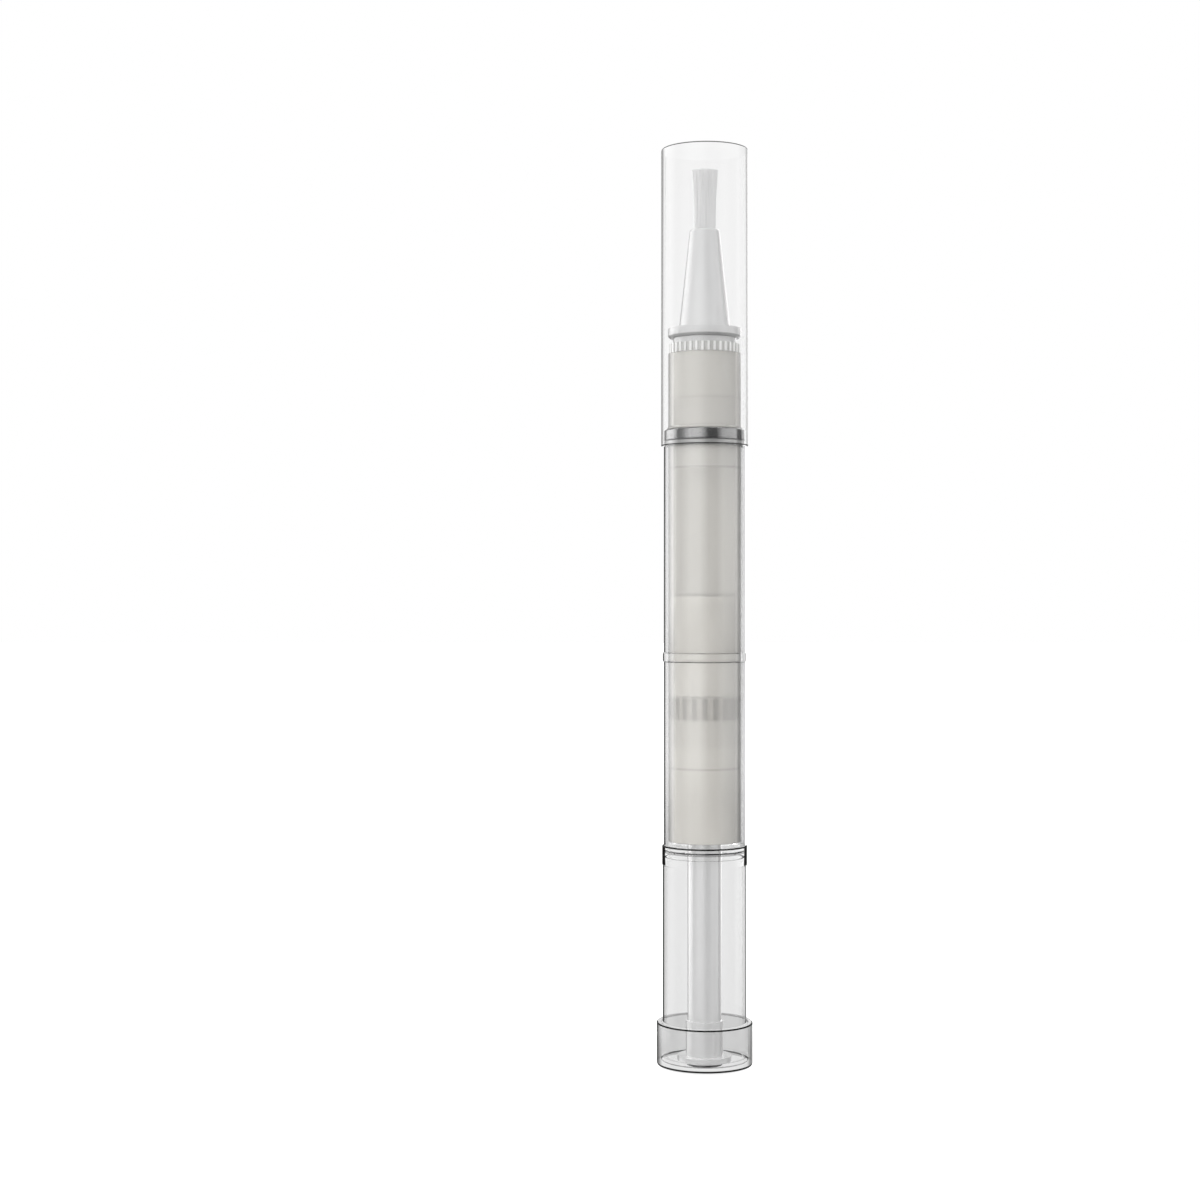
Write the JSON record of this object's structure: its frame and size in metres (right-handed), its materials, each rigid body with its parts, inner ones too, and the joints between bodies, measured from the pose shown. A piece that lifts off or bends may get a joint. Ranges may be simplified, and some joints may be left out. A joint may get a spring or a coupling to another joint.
{
  "type": "nail oil pen",
  "caption": "Slim twist-up nail oil pen with a clear cap, bristle brush, milky reservoir and a turning base knob.",
  "frame": {"origin": "centre of the knob's underside, which the pen stands on", "axes": "+Z along the pen from the knob towards the brush and the cap's closed end; the pen is round about Z"},
  "size_m": [0.0142, 0.0142, 0.1348],
  "materials": {
    "clear_cap": "clear glossy plastic",
    "clear_barrel": "clear glossy plastic",
    "clear_tail": "clear glossy plastic",
    "milky_reservoir": "milky translucent plastic",
    "white_moulding": "white plastic, softly glossy",
    "frosted_applicator": "frosted white plastic",
    "bristle_white": "white nylon bristle",
    "silver_ring": "plastic with a silvered face",
    "mechanism_white": "white plastic"
  },
  "bodies": {
    "barrel": {"reservoir": "milky_reservoir", "front_sleeve": "clear_barrel", "collar_ring": "silver_ring", "joint_ring": "clear_barrel", "rear_sleeve": "clear_barrel", "tail_tube": "clear_tail", "neck_bush": "frosted_applicator", "applicator": "frosted_applicator", "tuft_ferrule": "white_moulding", "feed_tube": "white_moulding", "bristle_tuft": "bristle_white", "bearing_bush": "mechanism_white", "ratchet_ring": "mechanism_white", "thread_nut": "mechanism_white"},
    "cap": {"cap": "clear_cap"},
    "knob": {"knob": "clear_tail", "drive_tube": "white_moulding", "click_pawl": "mechanism_white"},
    "spindle": {"spindle": "mechanism_white"},
    "piston": {"piston": "mechanism_white"}
  },
  "joints": [
    {"name": "cap_slide", "type": "slide", "parent": "barrel", "child": "cap", "axis": [0, 0, 1], "range_m": [0, 0.045]},
    {"name": "knob_twist", "type": "hinge", "parent": "barrel", "child": "knob", "pos_m": [0, 0, 0], "axis": [0, 0, 1], "range_deg": [0, 2160]},
    {"name": "spindle_slide", "type": "slide", "parent": "knob", "child": "spindle", "axis": [0, 0, 1], "range_m": [0, 0.018]},
    {"name": "piston_slide", "type": "slide", "parent": "barrel", "child": "piston", "axis": [0, 0, 1], "range_m": [0, 0.018]}
  ],
  "couplings": [
    {"joint": "knob_twist", "follows": "piston_slide", "rad_per_m": 2094.4},
    {"joint": "spindle_slide", "follows": "piston_slide", "ratio": 1}
  ]
}
